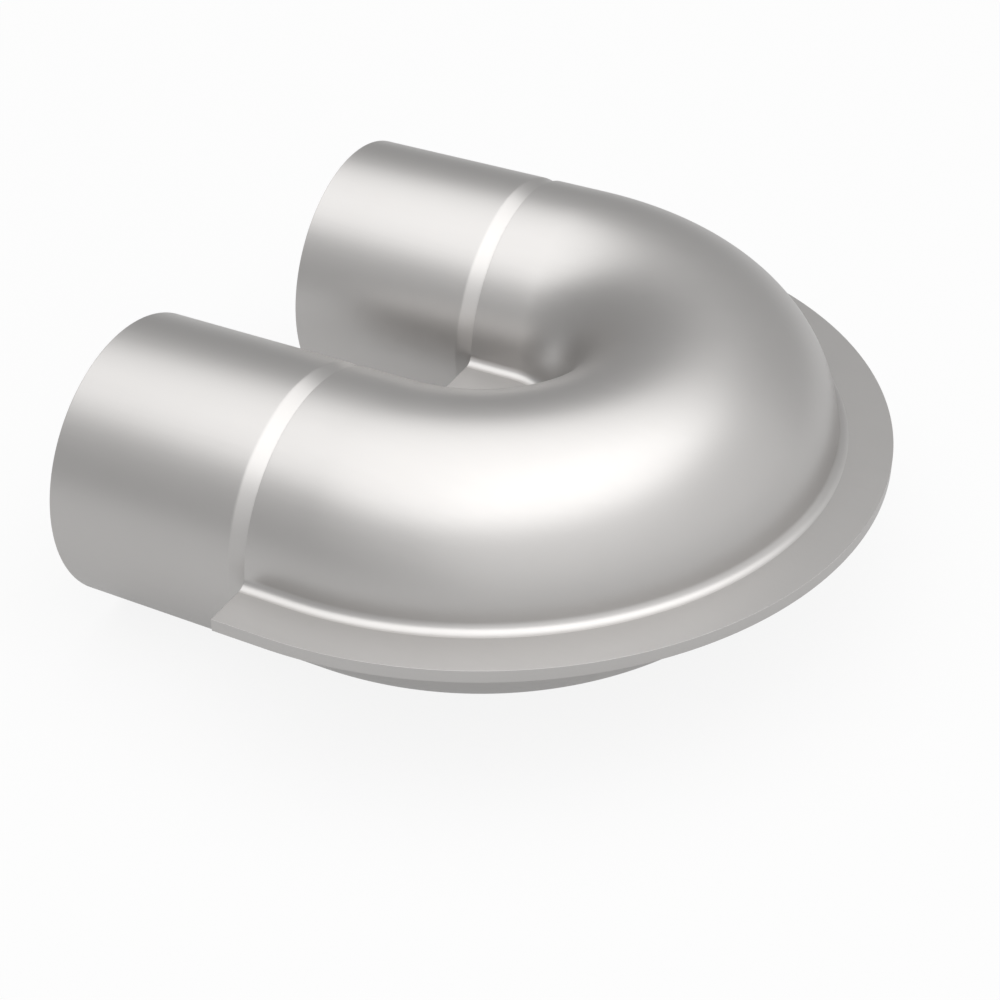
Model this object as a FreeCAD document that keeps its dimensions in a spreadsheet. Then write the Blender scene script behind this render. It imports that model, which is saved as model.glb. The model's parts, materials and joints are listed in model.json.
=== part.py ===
# Exhaust u-bend, in millimetres, standing on z = 0 with its two tube mouths towards -X.
# Two pressed half shells lie flange to flange. Each carries half of the 180 degree bend, half of a short
# straight collar at both ends, a flat seam flange round the outside and a flat web in the crotch.
# A straight tube, drawn down to a neck at its inner end, goes into each collar.
import FreeCAD, Part
import Sketcher
import math
import os

NODE_FOLDER = "parts"

# Driving sizes. Each can be changed by itself.
SIZES = {
    "tube_bore": 50.0,         # inside diameter of the straight tubes
    "tube_wall": 1.2,
    "sheet_thickness": 1.2,    # of each half shell
    "bend_radius": 40.0,       # from the bend's axis to the tube's centre line
    "mouth_reach": 50.0,       # from the bend's axis back to the tube mouths
    "collar_length": 10.0,     # straight stretch of the shells before the bend starts
    "flange_width": 10.0,      # beyond the tube's outer wall
    "press_radius": 2.0,       # hollow side of the fold between half tube and flange
    "taper_length": 3.3,       # from the tube's shoulder to its neck
    "neck_length": 8.0,        # how far the neck goes into the collar
    "fold_radius": 0.3,        # hollow side of the two folds at the taper
    "slip_gap": 0.05,          # all round, between neck and collar
}

os.makedirs(NODE_FOLDER, exist_ok=True)
doc = FreeCAD.newDocument("ExhaustUBend")

sheet = doc.addObject("Spreadsheet::Sheet", "Sizes")
for row, (alias, number) in enumerate(SIZES.items(), start=1):
    sheet.set("A%d" % row, alias.replace("_", " "))
    sheet.set("B%d" % row, str(number))
    sheet.setAlias("B%d" % row, alias)
doc.recompute()

# Sizes that follow from the driving ones, as the sheet's own expressions
OUTER_RADIUS = "(Sizes.tube_bore / 2 + Sizes.tube_wall)"
NECK_RADIUS = "(%s - Sizes.sheet_thickness - Sizes.slip_gap)" % OUTER_RADIUS
FLANGE_REACH = "(Sizes.bend_radius + %s + Sizes.flange_width)" % OUTER_RADIUS
BEND_AXIS_X = "((Sizes.mouth_reach - %s) / 2)" % FLANGE_REACH

# Which point of a line or an arc a constraint holds, and the sketch's own origin and axis
START, END, CENTRE = range(1, 4)
HORIZONTAL_AXIS = -1
ORIGIN = (HORIZONTAL_AXIS, START)


def point(x, y):
    return FreeCAD.Vector(x, y, 0)


def line(sketch, x1, y1, x2, y2, construction=False):
    return sketch.addGeometry(Part.LineSegment(point(x1, y1), point(x2, y2)), construction)


def arc(sketch, centre, radius, first, last):
    """An arc about centre, counter-clockwise between two angles in radians."""
    circle = Part.Circle(point(*centre), FreeCAD.Vector(0, 0, 1), radius)
    return sketch.addGeometry(Part.ArcOfCircle(circle, first, last), False)


def tie(sketch, kind, *where):
    return sketch.addConstraint(Sketcher.Constraint(kind, *where))


def dimension(sketch, name, expression, kind, *where):
    """A named dimension, bound to the sheet."""
    number = tie(sketch, kind, *where)
    sketch.renameConstraint(number, name)
    sketch.setExpression("Constraints." + name, expression)


def plane(body, role):
    for feature in body.Origin.OriginFeatures:
        if feature.Role == role:
            return feature
    raise ValueError("no plane " + role)


def new_body(name, y="0", turned_over=False):
    """A body whose own origin is on the bend's axis, or on a leg's centre line where y is given."""
    body = doc.addObject("PartDesign::Body", name)
    body.Label = name
    if turned_over:
        body.Placement.Rotation = FreeCAD.Rotation(FreeCAD.Vector(1, 0, 0), 180)
    body.setExpression("Placement.Base.x", BEND_AXIS_X)
    body.setExpression("Placement.Base.y", y)
    body.setExpression("Placement.Base.z", OUTER_RADIUS)
    return body


def new_sketch(body, name, role):
    sketch = body.newObject("Sketcher::SketchObject", name)
    sketch.AttachmentSupport = [(plane(body, role), "")]
    sketch.MapMode = "FlatFace"
    return sketch


def shell_section(body, name):
    """The sheet cut across one leg, from the bend's axis out to the flange's edge.

    The fold at the flange's root is a hollow arc above and a larger arc about the same centre below,
    so the sheet keeps its thickness all the way.
    """
    bend = sheet.bend_radius
    sheet_thickness = sheet.sheet_thickness
    outer = sheet.tube_bore / 2 + sheet.tube_wall
    press = sheet.press_radius
    fold = press + sheet_thickness
    root = math.sqrt((outer + press) ** 2 - fold ** 2)
    tip = bend + outer + sheet.flange_width
    lean = math.atan2(fold, root)
    quarter = math.pi / 2
    left = (bend - root, fold)
    right = (bend + root, fold)

    sketch = new_sketch(body, name, "YZ_Plane")
    web_under = line(sketch, 0, 0, bend - root, 0)
    fold_in_under = arc(sketch, left, fold, -quarter, -lean)
    bore = arc(sketch, (bend, 0), outer - sheet_thickness, lean, math.pi - lean)
    fold_out_under = arc(sketch, right, fold, math.pi + lean, math.pi + quarter)
    flange_under = line(sketch, bend + root, 0, tip, 0)
    flange_edge = line(sketch, tip, 0, tip, sheet_thickness)
    flange_top = line(sketch, tip, sheet_thickness, bend + root, sheet_thickness)
    fold_out_top = arc(sketch, right, press, math.pi + lean, math.pi + quarter)
    crown = arc(sketch, (bend, 0), outer, lean, math.pi - lean)
    fold_in_top = arc(sketch, left, press, -quarter, -lean)
    web_top = line(sketch, bend - root, sheet_thickness, 0, sheet_thickness)
    web_end = line(sketch, 0, sheet_thickness, 0, 0)

    tie(sketch, "Coincident", web_under, START, *ORIGIN)
    tie(sketch, "Horizontal", web_under)
    tie(sketch, "Tangent", web_under, END, fold_in_under, START)
    tie(sketch, "Tangent", fold_in_under, END, bore, END)
    tie(sketch, "Tangent", bore, START, fold_out_under, START)
    tie(sketch, "Tangent", fold_out_under, END, flange_under, START)
    tie(sketch, "PointOnObject", flange_under, END, HORIZONTAL_AXIS)
    tie(sketch, "Horizontal", flange_under)
    tie(sketch, "Coincident", flange_under, END, flange_edge, START)
    tie(sketch, "Vertical", flange_edge)
    tie(sketch, "Coincident", flange_edge, END, flange_top, START)
    tie(sketch, "Horizontal", flange_top)
    tie(sketch, "Tangent", flange_top, END, fold_out_top, END)
    tie(sketch, "Tangent", fold_out_top, START, crown, START)
    tie(sketch, "Tangent", crown, END, fold_in_top, END)
    tie(sketch, "Tangent", fold_in_top, START, web_top, START)
    tie(sketch, "Horizontal", web_top)
    tie(sketch, "Coincident", web_top, END, web_end, START)
    tie(sketch, "Coincident", web_end, END, *ORIGIN)
    tie(sketch, "Vertical", web_end)
    tie(sketch, "PointOnObject", crown, CENTRE, HORIZONTAL_AXIS)
    tie(sketch, "Coincident", bore, CENTRE, crown, CENTRE)
    tie(sketch, "Coincident", fold_in_top, CENTRE, fold_in_under, CENTRE)
    tie(sketch, "Coincident", fold_out_top, CENTRE, fold_out_under, CENTRE)

    dimension(sketch, "bend_radius", "Sizes.bend_radius", "DistanceX", *ORIGIN, crown, CENTRE, bend)
    dimension(sketch, "outer_radius", OUTER_RADIUS, "Radius", crown, outer)
    dimension(sketch, "sheet_thickness", "Sizes.sheet_thickness", "DistanceY",
              flange_edge, START, flange_edge, END, sheet_thickness)
    dimension(sketch, "press_radius", "Sizes.press_radius", "Radius", fold_out_top, press)
    dimension(sketch, "press_radius_in", "Sizes.press_radius", "Radius", fold_in_top, press)
    dimension(sketch, "flange_reach", FLANGE_REACH, "DistanceX", *ORIGIN, flange_edge, START, tip)
    return sketch


def half_shell(name, turned_over):
    """One pressing: its section carried straight along both collars and half round the bend's axis."""
    body = new_body(name, turned_over=turned_over)
    section = shell_section(body, name + "_section")

    collar = body.newObject("PartDesign::Pad", name + "_collar")
    collar.Profile = section
    collar.Reversed = True
    collar.setExpression("Length", "Sizes.collar_length")
    doc.recompute()

    collars = body.newObject("PartDesign::Mirrored", name + "_both_collars")
    collars.Originals = [collar]
    collars.MirrorPlane = (plane(body, "XZ_Plane"), [""])
    body.Tip = collars
    doc.recompute()

    turn = body.newObject("PartDesign::Revolution", name + "_turn")
    turn.Profile = section
    turn.ReferenceAxis = (section, ["V_Axis"])
    turn.Angle = 180
    turn.Reversed = True
    body.Tip = turn
    return body


def tube_section(body, name):
    """The wall of one tube above its centre line, from the mouth to the end of the neck.

    Both folds of the taper keep the wall's thickness: each is two arcs about one centre.
    """
    outer = sheet.tube_bore / 2 + sheet.tube_wall
    wall = sheet.tube_wall
    neck = outer - sheet.sheet_thickness - sheet.slip_gap
    mouth_x = -sheet.mouth_reach
    shoulder_x = -sheet.collar_length - sheet.taper_length
    root_x = -sheet.collar_length
    end_x = root_x + sheet.neck_length
    hollow = sheet.fold_radius
    full = hollow + wall
    slope = math.atan2(outer - neck, sheet.taper_length)
    half_turn = math.tan(slope / 2)
    up = math.pi / 2
    across = math.sin(slope)
    along = math.cos(slope)
    shoulder_centre = (shoulder_x - full * half_turn, outer - full)
    root_centre = (root_x + hollow * half_turn, neck + hollow)

    def on_shoulder(radius):
        return (shoulder_centre[0] + radius * across, shoulder_centre[1] + radius * along)

    def on_root(radius):
        return (root_centre[0] - radius * across, root_centre[1] - radius * along)

    sketch = new_sketch(body, name, "XZ_Plane")
    outside = line(sketch, mouth_x, outer, shoulder_centre[0], outer)
    shoulder = arc(sketch, shoulder_centre, full, up - slope, up)
    cone = line(sketch, *on_shoulder(full), *on_root(hollow))
    root = arc(sketch, root_centre, hollow, 3 * up - slope, 3 * up)
    neck_outside = line(sketch, root_centre[0], neck, end_x, neck)
    neck_end = line(sketch, end_x, neck, end_x, neck - wall)
    neck_inside = line(sketch, end_x, neck - wall, root_centre[0], neck - wall)
    root_inside = arc(sketch, root_centre, full, 3 * up - slope, 3 * up)
    cone_inside = line(sketch, *on_root(full), *on_shoulder(hollow))
    shoulder_inside = arc(sketch, shoulder_centre, hollow, up - slope, up)
    inside = line(sketch, shoulder_centre[0], outer - wall, mouth_x, outer - wall)
    mouth = line(sketch, mouth_x, outer - wall, mouth_x, outer)
    taper = line(sketch, shoulder_x, outer, root_x, neck, construction=True)

    tie(sketch, "Horizontal", outside)
    tie(sketch, "Tangent", outside, END, shoulder, END)
    tie(sketch, "Tangent", shoulder, START, cone, START)
    tie(sketch, "Tangent", cone, END, root, START)
    tie(sketch, "Tangent", root, END, neck_outside, START)
    tie(sketch, "Horizontal", neck_outside)
    tie(sketch, "Coincident", neck_outside, END, neck_end, START)
    tie(sketch, "Vertical", neck_end)
    tie(sketch, "Equal", neck_end, mouth)
    tie(sketch, "Coincident", neck_end, END, neck_inside, START)
    tie(sketch, "Horizontal", neck_inside)
    tie(sketch, "Tangent", neck_inside, END, root_inside, END)
    tie(sketch, "Tangent", root_inside, START, cone_inside, START)
    tie(sketch, "Tangent", cone_inside, END, shoulder_inside, START)
    tie(sketch, "Tangent", shoulder_inside, END, inside, START)
    tie(sketch, "Horizontal", inside)
    tie(sketch, "Coincident", inside, END, mouth, START)
    tie(sketch, "Vertical", mouth)
    tie(sketch, "Coincident", mouth, END, outside, START)
    tie(sketch, "Coincident", shoulder_inside, CENTRE, shoulder, CENTRE)
    tie(sketch, "Coincident", root_inside, CENTRE, root, CENTRE)
    tie(sketch, "PointOnObject", taper, START, outside)
    tie(sketch, "PointOnObject", taper, START, cone)
    tie(sketch, "PointOnObject", taper, END, neck_outside)
    tie(sketch, "PointOnObject", taper, END, cone)

    dimension(sketch, "outer_radius", OUTER_RADIUS, "DistanceY", *ORIGIN, outside, START, outer)
    dimension(sketch, "neck_radius", NECK_RADIUS, "DistanceY", *ORIGIN, neck_outside, END, neck)
    dimension(sketch, "tube_wall", "Sizes.tube_wall", "DistanceY", mouth, START, mouth, END, wall)
    dimension(sketch, "mouth_reach", "Sizes.mouth_reach", "DistanceX", mouth, START, *ORIGIN, -mouth_x)
    dimension(sketch, "collar_length", "Sizes.collar_length", "DistanceX", taper, END, *ORIGIN, -root_x)
    dimension(sketch, "taper_length", "Sizes.taper_length", "DistanceX",
              taper, START, taper, END, sheet.taper_length)
    dimension(sketch, "neck_length", "Sizes.neck_length", "DistanceX",
              taper, END, neck_end, START, sheet.neck_length)
    dimension(sketch, "fold_radius", "Sizes.fold_radius", "Radius", root, hollow)
    dimension(sketch, "fold_radius_inside", "Sizes.fold_radius", "Radius", shoulder_inside, hollow)
    return sketch


def tube(name, side):
    """One straight tube, turned about its centre line. side is -1 for the leg at -Y and 1 for +Y."""
    body = new_body(name, y="%d * Sizes.bend_radius" % side)
    wall = body.newObject("PartDesign::Revolution", name + "_wall")
    section = tube_section(body, name + "_section")
    wall.Profile = section
    wall.ReferenceAxis = (section, ["H_Axis"])
    wall.Angle = 360
    body.Tip = wall
    return body


nodes = [
    half_shell("upper_half_shell", turned_over=False),
    half_shell("lower_half_shell", turned_over=True),
    tube("inlet_tube", side=-1),
    tube("outlet_tube", side=1),
]
doc.recompute()

for thing in doc.Objects:
    if "Invalid" in thing.State or "Error" in thing.State:
        raise RuntimeError("%s failed: %s" % (thing.Name, thing.State))
    if thing.TypeId == "Sketcher::SketchObject" and not thing.FullyConstrained:
        raise RuntimeError("%s is not fully constrained" % thing.Name)

for node in nodes:
    shape = node.Shape
    if shape.isNull() or not shape.isValid() or len(shape.Solids) != 1:
        raise RuntimeError("%s is not one valid solid" % node.Label)
    box = shape.BoundBox
    print("%s: %.0f mm3, %.1f x %.1f x %.1f mm" % (node.Label, shape.Volume, box.XLength, box.YLength, box.ZLength))

for node in nodes:
    node.Shape.exportStep("%s/%s.step" % (NODE_FOLDER, node.Label))
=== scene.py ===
# Looks of the exhaust u-bend: satin steel half shells and tubes on a pale floor, in metres.
import json
import math
import bmesh
import bpy
import numpy as np
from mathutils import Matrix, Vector


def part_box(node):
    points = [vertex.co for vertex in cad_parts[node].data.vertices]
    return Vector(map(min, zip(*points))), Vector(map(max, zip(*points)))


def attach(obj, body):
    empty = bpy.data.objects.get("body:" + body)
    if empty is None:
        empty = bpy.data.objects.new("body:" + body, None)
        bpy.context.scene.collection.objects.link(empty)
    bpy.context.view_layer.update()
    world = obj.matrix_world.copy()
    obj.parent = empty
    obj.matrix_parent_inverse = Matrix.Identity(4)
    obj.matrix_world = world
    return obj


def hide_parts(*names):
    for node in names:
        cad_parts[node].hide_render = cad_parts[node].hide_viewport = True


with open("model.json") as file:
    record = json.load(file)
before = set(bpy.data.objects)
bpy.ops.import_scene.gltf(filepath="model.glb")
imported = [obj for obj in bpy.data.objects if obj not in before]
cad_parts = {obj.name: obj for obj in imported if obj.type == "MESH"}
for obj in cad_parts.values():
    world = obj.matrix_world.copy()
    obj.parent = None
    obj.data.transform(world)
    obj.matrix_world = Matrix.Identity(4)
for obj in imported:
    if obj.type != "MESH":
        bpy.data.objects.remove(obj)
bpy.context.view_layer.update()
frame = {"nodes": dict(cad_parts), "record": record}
millimetre = 0.001
sharpAngle = 35         # degrees between faces, past which an edge is drawn sharp
samePoint = 1e-7        # metres within which two points of a mesh become one
emptyFace = 1e-8        # metres under which a face's side counts as nothing
quarterTurn = math.pi / 2
print("stage: frame loaded with", len(frame["nodes"]), "nodes")


# sizes of the bend as a whole, read from the frame
mounts = {mount["name"]: mount for mount in frame["record"]["mounts"]}
shellLow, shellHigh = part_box("upper_half_shell")
tubeLow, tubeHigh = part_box("inlet_tube")
bend = {
    "radius": mounts["outlet_end"]["pos_m"][1],         # bend's axis to a leg's centre line
    "outer": mounts["outlet_end"]["dims"]["r_mm"] * millimetre,
    "bore": mounts["outlet_bore"]["dims"]["r_mm"] * millimetre,
    "seamHeight": mounts["outlet_end"]["pos_m"][2],
    "flangeReach": shellHigh.y,                         # bend's axis to the flange's edge
    "axisX": shellHigh.x - shellHigh.y,
    "mouthX": tubeLow.x,
    "neckEndX": tubeHigh.x,
    "collarEndX": shellLow.x,
}
bend["sheet"] = bend["outer"] - bend["bore"]


def addPiece(name, node, points, faces, surface):
    # makes points and faces into a piece that stands for a CAD node. Equal points become one, and faces
    # turn outwards. surface numbers each face's material: 0 for the outside, 1 for the bore, and 2 for the
    # flats of flange and web
    mesh = bpy.data.meshes.new(name)
    mesh.from_pydata(points, [], faces)
    mesh.polygons.foreach_set("material_index", np.asarray(surface, dtype=np.int32))
    work = bmesh.new()
    work.from_mesh(mesh)
    bmesh.ops.remove_doubles(work, verts=work.verts, dist=samePoint)
    bmesh.ops.dissolve_degenerate(work, edges=work.edges, dist=emptyFace)
    bmesh.ops.recalc_face_normals(work, faces=work.faces)
    openEdges = sum(len(edge.link_faces) != 2 for edge in work.edges)
    work.to_mesh(mesh)
    work.free()
    mesh.shade_smooth()
    mesh.set_sharp_from_angle(angle=math.radians(sharpAngle))
    piece = bpy.data.objects.new(name, mesh)
    bpy.context.scene.collection.objects.link(piece)
    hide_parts(node)
    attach(piece, "root")
    print("  ", name, len(mesh.polygons), "faces,", openEdges, "open edges")
    return piece


def arcPoints(centre, radius, first, last, count):
    # centre plus radius times (cos, sin) of angles evenly spaced from first to last
    turn = np.linspace(first, last, count)
    return np.stack([centre[0] + radius * np.cos(turn), centre[1] + radius * np.sin(turn)], axis=1)


def gridFaces(rows, columns, closed):
    # quads between neighbouring rows of a grid of points; closed joins each row's last point to its first
    width = columns if closed else columns - 1
    row, column = np.meshgrid(np.arange(rows - 1), np.arange(width), indexing="ij")
    here = row * columns
    above = here + columns
    after = (column + 1) % columns
    return np.stack([here + column, here + after, above + after, above + column], axis=-1).reshape(-1, 4)


# half shells
shell = {
    "pressRadius": 2.0 * millimetre,   # hollow side of the fold at the flange's root
    "edgeRound": 0.03 * millimetre,    # broken edges of the sheet
    "crownSteps": 120,
    "foldSteps": 16,
    "edgeSteps": 4,
    "turnSteps": 160,
    "guard": 0.12 * millimetre,        # short step beside a fold, which keeps the flats flat
}


def shellOutline(inset):
    # the outline of one leg's sheet above the seam plane, as (distance from the bend's axis, height), in
    # two lines. The under line is a flat, a fold arc, the bore's arc, a fold arc and a flat. The upper
    # line is the under line moved one sheet along its normal. inset pulls in the upper line and the
    # flange's edge
    press = shell["pressRadius"]
    sheet = bend["sheet"]
    fold = press + sheet
    root = math.sqrt((bend["outer"] + press) ** 2 - fold ** 2)
    lean = math.atan2(fold, root)
    left = (bend["radius"] - root, fold)
    right = (bend["radius"] + root, fold)
    guard = shell["guard"]

    def line(lift):
        # the under line moved by lift along its normal: the folds' radii lose lift and the crown's gains it
        foldPoints = shell["foldSteps"] + 1
        crownPoints = shell["crownSteps"] + 1
        web = [[0, lift], [left[0] - guard, lift]]
        foldIn = arcPoints(left, fold - lift, -quarterTurn, -lean, foldPoints)
        crown = arcPoints((bend["radius"], 0), bend["bore"] + lift, math.pi - lean, lean, crownPoints)
        foldOut = arcPoints(right, fold - lift, math.pi + lean, 3 * quarterTurn, foldPoints)
        flange = [[right[0] + guard, lift]]
        return np.concatenate([web, foldIn, crown[1:-1], foldOut, flange])

    rounding = shell["edgeRound"]
    corner = (bend["flangeReach"] - rounding, sheet - rounding)
    rim = arcPoints(corner, rounding - inset, quarterTurn, 0, shell["edgeSteps"] + 1)
    upper = np.concatenate([line(sheet - inset), [[corner[0] - guard, sheet - inset]], rim])
    under = np.concatenate([line(0), [[corner[0] - guard, 0], [bend["flangeReach"] - inset, 0]]])
    return upper, under


def shellPath():
    # the path's stations as (distance behind the bend's axis, angle, inset): a rounded end, a straight
    # collar, half a turn from -90 to 90 degrees, and the same collar and end backwards. The rounded end is
    # a quarter circle: its distance is collar - rounding (1 - cosine), and its inset rounding (1 - sine)
    rounding = shell["edgeRound"]
    collar = bend["axisX"] - bend["collarEndX"]
    roll = np.linspace(0, quarterTurn, shell["edgeSteps"] + 1)
    back = np.append(collar - rounding * (1 - np.cos(roll)), collar - rounding - shell["guard"])
    inset = np.append(rounding * (1 - np.sin(roll)), 0)
    turn = np.linspace(-quarterTurn, quarterTurn, shell["turnSteps"] + 1)
    still = np.zeros(len(turn))
    straight = np.full(len(back), quarterTurn)
    distances = np.concatenate([back, still, back[::-1]])
    angles = np.concatenate([-straight, turn, straight])
    insets = np.concatenate([inset, still, inset[::-1]])
    return distances, angles, insets


def halfShell(name, node, side):
    # the outline (u, v) carried along the path: x = axis - back + u cos(angle), y = u sin(angle) and
    # z = seam + side * v, with side 1 for the upper shell and -1 for the lower one
    upper, under = shellOutline(0)
    outline = np.concatenate([upper, under[::-1]])
    upperIn, underIn = shellOutline(shell["edgeRound"])
    drawnIn = np.concatenate([upperIn, underIn[::-1]]) - outline
    back, angle, inset = shellPath()
    ring = outline + drawnIn * (inset / shell["edgeRound"])[:, None, None]
    x = bend["axisX"] - back[:, None] + ring[..., 0] * np.cos(angle)[:, None]
    y = ring[..., 0] * np.sin(angle)[:, None]
    z = bend["seamHeight"] + side * ring[..., 1]
    points = np.stack([x, y, z], axis=-1).reshape(-1, 3)
    skin = gridFaces(len(back), len(outline), closed=False)
    # the sheet's cut end at each collar: quads from the upper line to the under line, and a fan at the rim
    # about the under line's last point
    quads = np.arange(len(under) - 1)
    fan = np.arange(len(under) - 1, len(upper) - 1)
    last = len(outline) - 1
    capQuads = np.stack([quads, quads + 1, last - quads - 1, last - quads], axis=1)
    capFan = np.stack([fan, fan + 1, np.full(len(fan), len(upper))], axis=1)
    faces = skin.tolist()
    for start in (0, len(points) - len(outline)):
        faces += (start + capQuads).tolist() + (start + capFan).tolist()
    # a strip of skin is a flat where both of its outline points lie one sheet above the seam plane
    isInside = np.arange(last) >= len(upper)
    isLevel = np.isclose(outline[:, 1], bend["sheet"])
    isFlat = isLevel[:-1] & isLevel[1:]
    surface = np.zeros(len(faces))
    surface[:len(skin)] = np.tile(isInside + 2 * isFlat, len(back) - 1)
    return addPiece(name, node, points, faces, surface)


# straight tubes
tube = {
    "taperLength": 3.3 * millimetre,   # from shoulder to neck
    "slipGap": 0.05 * millimetre,      # between neck and collar
    "foldRadius": 0.3 * millimetre,    # hollow side of the folds at the taper
    "edgeRound": 0.03 * millimetre,
    "foldSteps": 10,
    "edgeSteps": 4,
    "roundSteps": 180,
    "guard": 0.12 * millimetre,        # as on the shells
}


def tubeOutline():
    # the closed outline of the wall as (x, radius), outside from mouth to neck and back along the inside,
    # and which of its steps lie inside. The taper leans by the angle whose tangent is drop over length, and
    # each fold is two arcs about one centre
    wall = bend["sheet"]
    outer = bend["outer"]
    neck = bend["bore"] - tube["slipGap"]
    hollow = tube["foldRadius"]
    full = hollow + wall
    rootX = bend["collarEndX"]
    shoulderX = rootX - tube["taperLength"]
    slope = math.atan2(outer - neck, tube["taperLength"])
    halfTangent = math.tan(slope / 2)
    shoulder = (shoulderX - full * halfTangent, outer - full)
    root = (rootX + hollow * halfTangent, neck + hollow)
    foldPoints = tube["foldSteps"] + 1
    edgePoints = tube["edgeSteps"] + 1
    guard = tube["guard"]
    rounding = tube["edgeRound"]
    mouth = bend["mouthX"]
    end = bend["neckEndX"]
    up = quarterTurn
    down = 3 * quarterTurn
    outside = np.concatenate([
        arcPoints((mouth + rounding, outer - rounding), rounding, 2 * up, up, edgePoints),
        [[mouth + rounding + guard, outer]],
        [[shoulder[0] - guard, outer]],
        arcPoints(shoulder, full, up, up - slope, foldPoints),
        arcPoints(root, hollow, down - slope, down, foldPoints),
        [[root[0] + guard, neck]],
        [[end - rounding - guard, neck]],
        arcPoints((end - rounding, neck - rounding), rounding, up, 0, edgePoints),
        arcPoints((end - rounding, neck - wall + rounding), rounding, 0, -up, edgePoints),
    ])
    inside = np.concatenate([
        [[end - rounding - guard, neck - wall]],
        [[root[0] + guard, neck - wall]],
        arcPoints(root, full, down, down - slope, foldPoints),
        arcPoints(shoulder, hollow, up - slope, up, foldPoints),
        [[shoulder[0] - guard, outer - wall]],
        [[mouth + rounding + guard, outer - wall]],
    ])
    lip = arcPoints((mouth + rounding, outer - wall + rounding), rounding, down, 2 * up, edgePoints)
    outline = np.concatenate([outside, inside, lip])
    point = np.arange(len(outline))
    isInside = (point >= len(outside)) & (point < len(outside) + len(inside) - 1)
    return outline, isInside


def straightTube(name, node, side):
    # the outline turned about the leg's centre line: y = leg + radius cos(angle) and
    # z = seam + radius sin(angle), with side -1 for the leg at -Y and 1 for the one at +Y
    outline, isInside = tubeOutline()
    angle = np.linspace(0, 2 * math.pi, tube["roundSteps"] + 1)
    x = np.broadcast_to(outline[:, 0], (len(angle), len(outline)))
    y = side * bend["radius"] + np.outer(np.cos(angle), outline[:, 1])
    z = bend["seamHeight"] + np.outer(np.sin(angle), outline[:, 1])
    points = np.stack([x, y, z], axis=-1).reshape(-1, 3)
    faces = gridFaces(len(angle), len(outline), closed=True).tolist()
    return addPiece(name, node, points, faces, np.tile(isInside, len(angle) - 1))


upperShell = halfShell("upperShell", "upper_half_shell", 1)
lowerShell = halfShell("lowerShell", "lower_half_shell", -1)
inletTube = straightTube("inletTube", "inlet_tube", -1)
outletTube = straightTube("outletTube", "outlet_tube", 1)
print("stage: pieces made")


# steel: satin outside, rougher on the pressed flats and dull in the bore, with a faint grain along X; the
# flats' colour is also darkened as painted shade
steel = {
    "light": (0.606, 0.593, 0.582),    # the two ends of a very faint mottle
    "dark": (0.587, 0.574, 0.563),
    "mottleScale": 70,                 # per metre
    "mottleDetail": 3,                 # octaves of the noise
    "shellGrain": (120, 900, 900),     # per metre along X, Y and Z: pressing has blurred it
    "tubeGrain": (40, 2600, 2600),
    "grainDetail": 4,
    "grainHeight": 3e-6,               # metres
    # the three finishes; shade is a share of the colours above: below 1 on the flats, where it darkens them
    # as painted shade, and 1 elsewhere
    "satin": {"metallic": 1.0, "roughness": (0.34, 0.4), "shade": 1.0},
    "dull": {"metallic": 0.6, "roughness": (0.5, 0.58), "shade": 1.0},
    # the flats: a rougher finish, and a colour darkened by painted shade
    "flat": {"metallic": 1.0, "roughness": (0.44, 0.5), "shade": 0.82},
}


def steelFinish(name, grain, finish):
    # base colour = shade (dark + mottle (light - dark)), where mottle is a slow noise and a shade below 1
    # is painted shade. A second noise, drawn out along X, gives the roughness between the finish's two
    # ends, and the height of the grain
    material = bpy.data.materials.new(name)
    material.use_nodes = True
    nodes, links = material.node_tree.nodes, material.node_tree.links
    shader = nodes["Principled BSDF"]
    shader.inputs["Metallic"].default_value = finish["metallic"]
    place = nodes.new("ShaderNodeTexCoord").outputs["Object"]

    mottle = nodes.new("ShaderNodeTexNoise")
    mottle.inputs["Scale"].default_value = steel["mottleScale"]
    mottle.inputs["Detail"].default_value = steel["mottleDetail"]
    links.new(place, mottle.inputs["Vector"])
    tint = nodes.new("ShaderNodeMix")
    tint.data_type = "RGBA"
    # painted shade: the finish's share scales both colours, which darkens the flats
    tint.inputs["A"].default_value = (*(finish["shade"] * np.array(steel["dark"])), 1)
    tint.inputs["B"].default_value = (*(finish["shade"] * np.array(steel["light"])), 1)
    links.new(mottle.outputs["Fac"], tint.inputs["Factor"])
    links.new(tint.outputs["Result"], shader.inputs["Base Color"])

    stretch = nodes.new("ShaderNodeMapping")
    stretch.inputs["Scale"].default_value = grain
    links.new(place, stretch.inputs["Vector"])
    lines = nodes.new("ShaderNodeTexNoise")
    lines.inputs["Scale"].default_value = 1     # stretch has set the scale
    lines.inputs["Detail"].default_value = steel["grainDetail"]
    links.new(stretch.outputs["Vector"], lines.inputs["Vector"])
    smoothest, roughest = finish["roughness"]
    sheen = nodes.new("ShaderNodeMapRange")
    sheen.inputs["To Min"].default_value = smoothest
    sheen.inputs["To Max"].default_value = roughest
    links.new(lines.outputs["Fac"], sheen.inputs["Value"])
    links.new(sheen.outputs["Result"], shader.inputs["Roughness"])
    bump = nodes.new("ShaderNodeBump")
    bump.inputs["Distance"].default_value = steel["grainHeight"]
    links.new(lines.outputs["Fac"], bump.inputs["Height"])
    links.new(bump.outputs["Normal"], shader.inputs["Normal"])
    return material


# finishes stand in the order of addPiece's numbers
finishedParts = [
    {"kind": "shell", "finishes": ("satin", "dull", "flat"), "pieces": (upperShell, lowerShell)},
    {"kind": "tube", "finishes": ("satin", "dull"), "pieces": (inletTube, outletTube)},
]
for part in finishedParts:
    grain = steel[part["kind"] + "Grain"]
    for finish in part["finishes"]:
        material = steelFinish(part["kind"] + finish.capitalize() + "Steel", grain, steel[finish])
        for piece in part["pieces"]:
            piece.data.materials.append(material)
print("stage: materials made")


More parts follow.
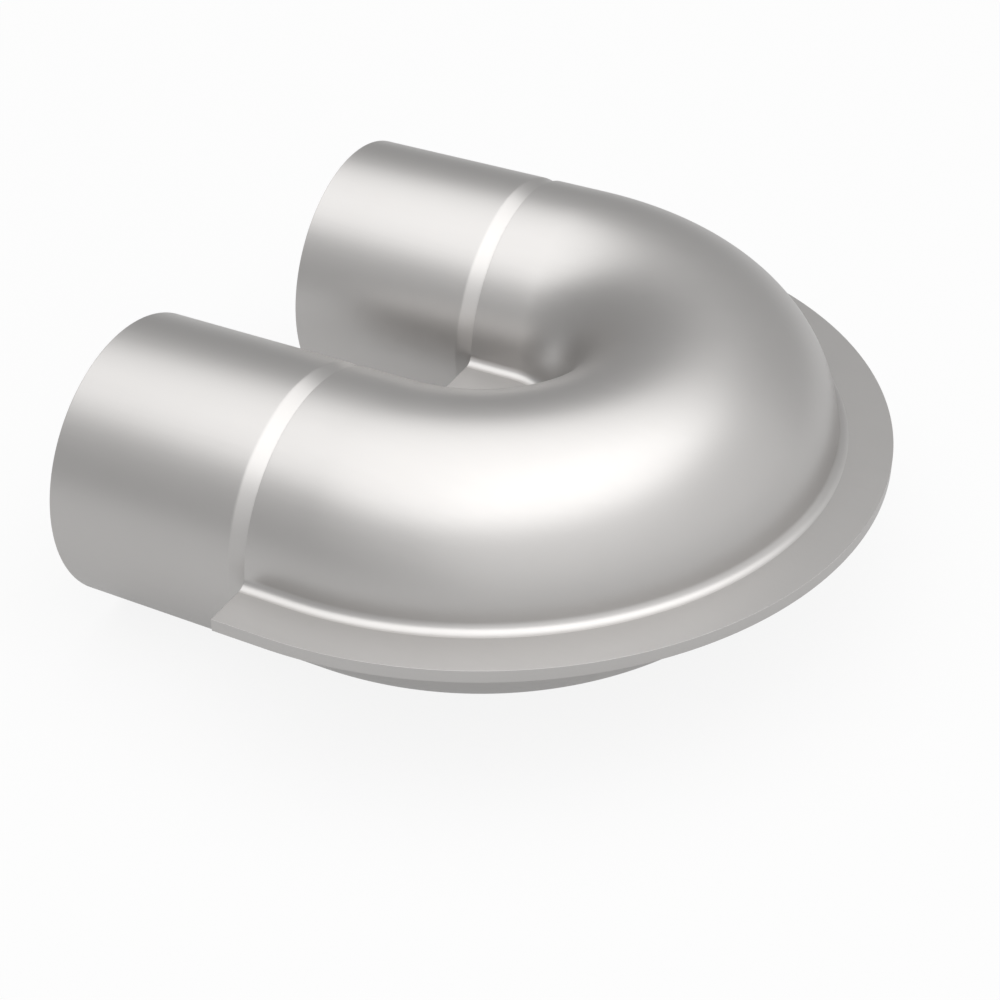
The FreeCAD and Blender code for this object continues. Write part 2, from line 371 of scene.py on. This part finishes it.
# floor and light
studio = {
    "white": (1.0, 1.0, 1.0),
    "floorSize": 4.0,
    "floorGlow": 0.87,       # share of the floor's look that is plain white; the matt rest keeps the shadow
    "reflectedGlow": 0.6,    # the same share in reflections, which show more of the shadow
    "floorColour": (0.95, 0.95, 0.95),
    # the floor's glow and the world are at 1 to the camera, and in reflections at these levels
    "floorLevel": 0.62,
    "brightLevel": 0.65,     # world on its bright side
    "farLevel": 0.35,        # world opposite it
    "brightSide": -20,       # azimuth in degrees from +X towards +Y
    "fillLight": 0.2,        # the world's level for anything but camera, glossy and transmission rays
    "lampDistance": 3.0,
    "lamps": [
        # azimuth in degrees from +X towards +Y, elevation, half the angle it spans from the part, radiance
        {"name": "overhead", "azimuth": -20, "elevation": 90, "halfAngle": 45, "radiance": 1.05},
        {"name": "side", "azimuth": -10, "elevation": 25, "halfAngle": 60, "radiance": 0.235},
        {"name": "front", "azimuth": -60, "elevation": 66, "halfAngle": 55, "radiance": 0.135},
    ],
}


def seenRays(nodes, links):
    # the largest of Light Path's three answers: 1 for camera, glossy and transmission rays, else 0
    path = nodes.new("ShaderNodeLightPath")
    last = path.outputs["Is Camera Ray"]
    for name in ("Is Glossy Ray", "Is Transmission Ray"):
        either = nodes.new("ShaderNodeMath")
        either.operation = "MAXIMUM"
        links.new(last, either.inputs[0])
        links.new(path.outputs[name], either.inputs[1])
        last = either.outputs[0]
    return last


def byCamera(nodes, links, toCamera, toRest):
    # a node whose result is toCamera for camera rays and toRest, its To Min, for all others
    level = nodes.new("ShaderNodeMapRange")
    level.inputs["To Min"].default_value = toRest
    level.inputs["To Max"].default_value = toCamera
    links.new(nodes.new("ShaderNodeLightPath").outputs["Is Camera Ray"], level.inputs["Value"])
    return level


def makeFloor():
    # a square at height 0, which looks like share times a white glow plus (1 - share) times matt white
    half = studio["floorSize"] / 2
    corners = [(-half, -half, 0), (half, -half, 0), (half, half, 0), (-half, half, 0)]
    mesh = bpy.data.meshes.new("floor")
    mesh.from_pydata(corners, [], [(0, 1, 2, 3)])
    floor = bpy.data.objects.new("floor", mesh)
    bpy.context.scene.collection.objects.link(floor)
    material = bpy.data.materials.new("paleFloor")
    material.use_nodes = True
    nodes, links = material.node_tree.nodes, material.node_tree.links
    nodes.clear()
    matt = nodes.new("ShaderNodeBsdfDiffuse")
    matt.inputs["Color"].default_value = (*studio["floorColour"], 1)
    glow = nodes.new("ShaderNodeEmission")
    glow.inputs["Color"].default_value = (*studio["white"], 1)
    level = byCamera(nodes, links, 1, studio["floorLevel"])
    links.new(level.outputs["Result"], glow.inputs["Strength"])
    glowing = byCamera(nodes, links, studio["floorGlow"], studio["reflectedGlow"])
    share = nodes.new("ShaderNodeMath")
    share.operation = "MULTIPLY"
    links.new(seenRays(nodes, links), share.inputs[0])
    links.new(glowing.outputs["Result"], share.inputs[1])
    blend = nodes.new("ShaderNodeMixShader")
    links.new(share.outputs[0], blend.inputs["Fac"])
    links.new(matt.outputs[0], blend.inputs[1])
    links.new(glow.outputs[0], blend.inputs[2])
    output = nodes.new("ShaderNodeOutputMaterial")
    links.new(blend.outputs[0], output.inputs["Surface"])
    mesh.materials.append(material)


def direction(azimuth, elevation):
    # unit vector at azimuth from +X towards +Y and elevation above the floor, both in degrees
    turn = math.radians(azimuth)
    rise = math.radians(elevation)
    return np.array([math.cos(turn) * math.cos(rise), math.sin(turn) * math.cos(rise), math.sin(rise)])


def makeLamp(settings):
    # a round soft box that faces the part. Its radius is distance times the tangent of half its angle, and
    # its power is radiance times pi times its area
    towards = direction(settings["azimuth"], settings["elevation"])
    lamp = bpy.data.lights.new(settings["name"], "AREA")
    lamp.shape = "DISK"
    radius = studio["lampDistance"] * math.tan(math.radians(settings["halfAngle"]))
    lamp.size = 2 * radius
    lamp.energy = settings["radiance"] * math.pi * math.pi * radius ** 2
    softBox = bpy.data.objects.new(settings["name"], lamp)
    bpy.context.scene.collection.objects.link(softBox)
    softBox.location = towards * studio["lampDistance"]
    softBox.rotation_mode = "QUATERNION"
    softBox.rotation_quaternion = Vector(towards).to_track_quat("Z", "Y")
    softBox.visible_camera = False


def makeWorld():
    # the world's level is 1 to the camera, fillLight to matt surfaces, and in reflections
    # farLevel + (brightLevel - farLevel) (1 + cosine of the angle to the bright side) / 2
    world = bpy.data.worlds.new("studioWorld")
    bpy.context.scene.world = world
    world.use_nodes = True
    nodes, links = world.node_tree.nodes, world.node_tree.links
    nodes.clear()
    facing = nodes.new("ShaderNodeVectorMath")
    facing.operation = "DOT_PRODUCT"
    facing.inputs[1].default_value = direction(studio["brightSide"], 0)
    links.new(nodes.new("ShaderNodeTexCoord").outputs["Generated"], facing.inputs[0])
    reflected = nodes.new("ShaderNodeMapRange")
    reflected.inputs["From Min"].default_value = -1
    reflected.inputs["To Min"].default_value = studio["farLevel"]
    reflected.inputs["To Max"].default_value = studio["brightLevel"]
    links.new(facing.outputs["Value"], reflected.inputs["Value"])
    filled = nodes.new("ShaderNodeMapRange")
    filled.inputs["To Min"].default_value = studio["fillLight"]
    links.new(reflected.outputs["Result"], filled.inputs["To Max"])
    links.new(seenRays(nodes, links), filled.inputs["Value"])
    level = byCamera(nodes, links, 1, 0)
    links.new(filled.outputs["Result"], level.inputs["To Min"])
    background = nodes.new("ShaderNodeBackground")
    background.inputs["Color"].default_value = (*studio["white"], 1)
    links.new(level.outputs["Result"], background.inputs["Strength"])
    output = nodes.new("ShaderNodeOutputWorld")
    links.new(background.outputs[0], output.inputs[0])


# camera
view = {
    "azimuth": 27.43,        # degrees from looking along +Y
    "elevation": 35.27,
    "lens": 75,              # millimetres, on a sensor 36 mm wide
    "distance": 0.3692,
    "aim": (0.0025, -0.0231, 0.0262),
    "nearClip": 0.01,
}


def makeCamera():
    # the camera stands at aim + distance times the direction back towards it, and looks at aim
    back = direction(view["azimuth"] - 90, view["elevation"])
    data = bpy.data.cameras.new("camera")
    data.lens = view["lens"]
    data.clip_start = view["nearClip"]
    camera = bpy.data.objects.new("camera", data)
    bpy.context.scene.collection.objects.link(camera)
    camera.location = np.array(view["aim"]) + back * view["distance"]
    camera.rotation_mode = "QUATERNION"
    camera.rotation_quaternion = Vector(back).to_track_quat("Z", "Y")
    bpy.context.scene.camera = camera


makeFloor()
for lampSettings in studio["lamps"]:
    makeLamp(lampSettings)
makeWorld()
makeCamera()
bpy.context.scene.view_settings.view_transform = "Standard"
print("stage: floor, lamps, world and camera made")
